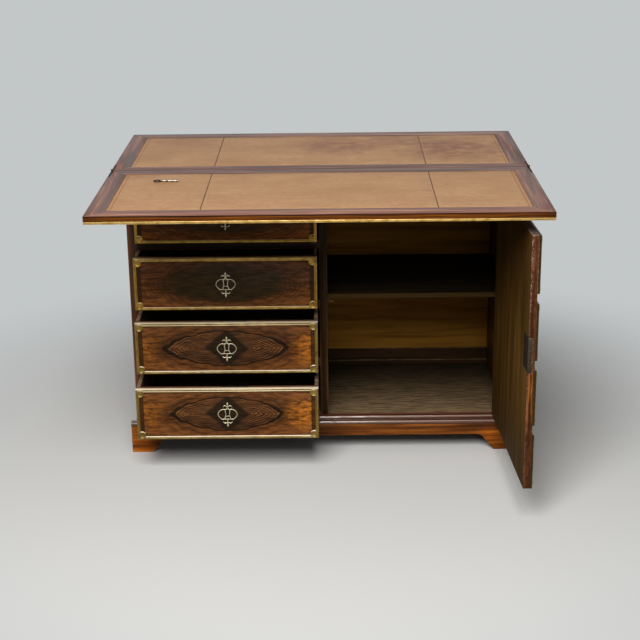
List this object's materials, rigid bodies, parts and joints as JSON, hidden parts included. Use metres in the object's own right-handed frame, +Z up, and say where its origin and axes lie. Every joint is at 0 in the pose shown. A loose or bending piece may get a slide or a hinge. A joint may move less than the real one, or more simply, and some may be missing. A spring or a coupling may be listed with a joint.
{
  "type": "campaign desk",
  "caption": "Brass-bound rosewood campaign desk on bracket feet, with a fold-over leather writing top, lockable drawers and a cupboard whose door is dressed as drawer fronts.",
  "frame": {"origin": "on the floor, under the middle of the fold between the two leaves of the top", "axes": "+X to the sitter's right, +Y from the sitter to the back of the desk, +Z up"},
  "size_m": [0.975, 0.828, 0.7262],
  "materials": {
    "rosewood": "satin",
    "pine": "matte",
    "brass": "satin",
    "leather": "matte",
    "iron": "matte"
  },
  "bodies": {
    "case": {"side_left": "rosewood", "side_right": "rosewood", "divider": "rosewood", "bottom_board": "pine", "dust_board": "pine", "frieze_rail": "rosewood", "loper_guides": "pine", "back_panel": "pine", "back_ledge": "pine", "drawer_rails": "rosewood", "drawer_runners": "pine", "shelf": "pine", "shelf_cleats": "pine", "plinth_front": "rosewood", "plinth_left": "rosewood", "plinth_right": "rosewood", "plinth_back": "pine", "base_moulding": "rosewood", "rear_leaf": "rosewood", "rear_leather": "leather", "top_hinge_arms": "brass", "door_hinge_plates": "brass"},
    "leaf": {"front_leaf": "rosewood", "front_leather": "leather", "front_leaf_edging": "brass", "leaf_hinge_arms": "brass"},
    "left_loper": {"loper_left": "rosewood"},
    "right_loper": {"loper_right": "rosewood"},
    "drawer_1": {"drawer_1_front": "rosewood", "drawer_1_box": "pine", "drawer_1_binding": "brass", "drawer_1_escutcheon": "brass", "drawer_1_lock": "iron"},
    "bolt_1": {"drawer_1_bolt": "iron"},
    "drawer_2": {"drawer_2_front": "rosewood", "drawer_2_box": "pine", "drawer_2_binding": "brass", "drawer_2_escutcheon": "brass", "drawer_2_lock": "iron"},
    "bolt_2": {"drawer_2_bolt": "iron"},
    "drawer_3": {"drawer_3_front": "rosewood", "drawer_3_box": "pine", "drawer_3_binding": "brass", "drawer_3_escutcheon": "brass", "drawer_3_lock": "iron"},
    "bolt_3": {"drawer_3_bolt": "iron"},
    "drawer_4": {"drawer_4_front": "rosewood", "drawer_4_box": "pine", "drawer_4_binding": "brass", "drawer_4_escutcheon": "brass", "drawer_4_lock": "iron"},
    "bolt_4": {"drawer_4_bolt": "iron"},
    "door": {"door_panel": "rosewood", "false_fronts": "rosewood", "door_bindings": "brass", "door_escutcheons": "brass", "door_hinge_leaves": "brass", "door_lock": "iron"},
    "latch": {"door_bolt": "iron"}
  },
  "joints": [
    {"name": "leaf_fold", "type": "hinge", "parent": "case", "child": "leaf", "pos_m": [0, 0, 0.7222], "axis": [-1, 0, 0], "range_deg": [0, 180]},
    {"name": "left_loper_slide", "type": "slide", "parent": "case", "child": "left_loper", "axis": [0, -1, 0], "range_m": [-0.25, 0]},
    {"name": "right_loper_slide", "type": "slide", "parent": "case", "child": "right_loper", "axis": [0, -1, 0], "range_m": [-0.25, 0]},
    {"name": "drawer_1_slide", "type": "slide", "parent": "case", "child": "drawer_1", "axis": [0, -1, 0], "range_m": [-0.02, 0.24]},
    {"name": "bolt_1_slide", "type": "slide", "parent": "drawer_1", "child": "bolt_1", "axis": [0, 0, 1], "range_m": [0, 0.005]},
    {"name": "drawer_2_slide", "type": "slide", "parent": "case", "child": "drawer_2", "axis": [0, -1, 0], "range_m": [-0.071, 0.189]},
    {"name": "bolt_2_slide", "type": "slide", "parent": "drawer_2", "child": "bolt_2", "axis": [0, 0, 1], "range_m": [0, 0.005]},
    {"name": "drawer_3_slide", "type": "slide", "parent": "case", "child": "drawer_3", "axis": [0, -1, 0], "range_m": [-0.103, 0.157]},
    {"name": "bolt_3_slide", "type": "slide", "parent": "drawer_3", "child": "bolt_3", "axis": [0, 0, 1], "range_m": [0, 0.005]},
    {"name": "drawer_4_slide", "type": "slide", "parent": "case", "child": "drawer_4", "axis": [0, -1, 0], "range_m": [-0.147, 0.113]},
    {"name": "bolt_4_slide", "type": "slide", "parent": "drawer_4", "child": "bolt_4", "axis": [0, 0, 1], "range_m": [0, 0.005]},
    {"name": "door_swing", "type": "hinge", "parent": "case", "child": "door", "pos_m": [0.44275, 0.02, 0.382], "axis": [0, 0, 1], "range_deg": [-93, 77]},
    {"name": "latch_slide", "type": "slide", "parent": "door", "child": "latch", "axis": [0.0523, -0.9986, 0], "range_m": [0, 0.008]}
  ]
}
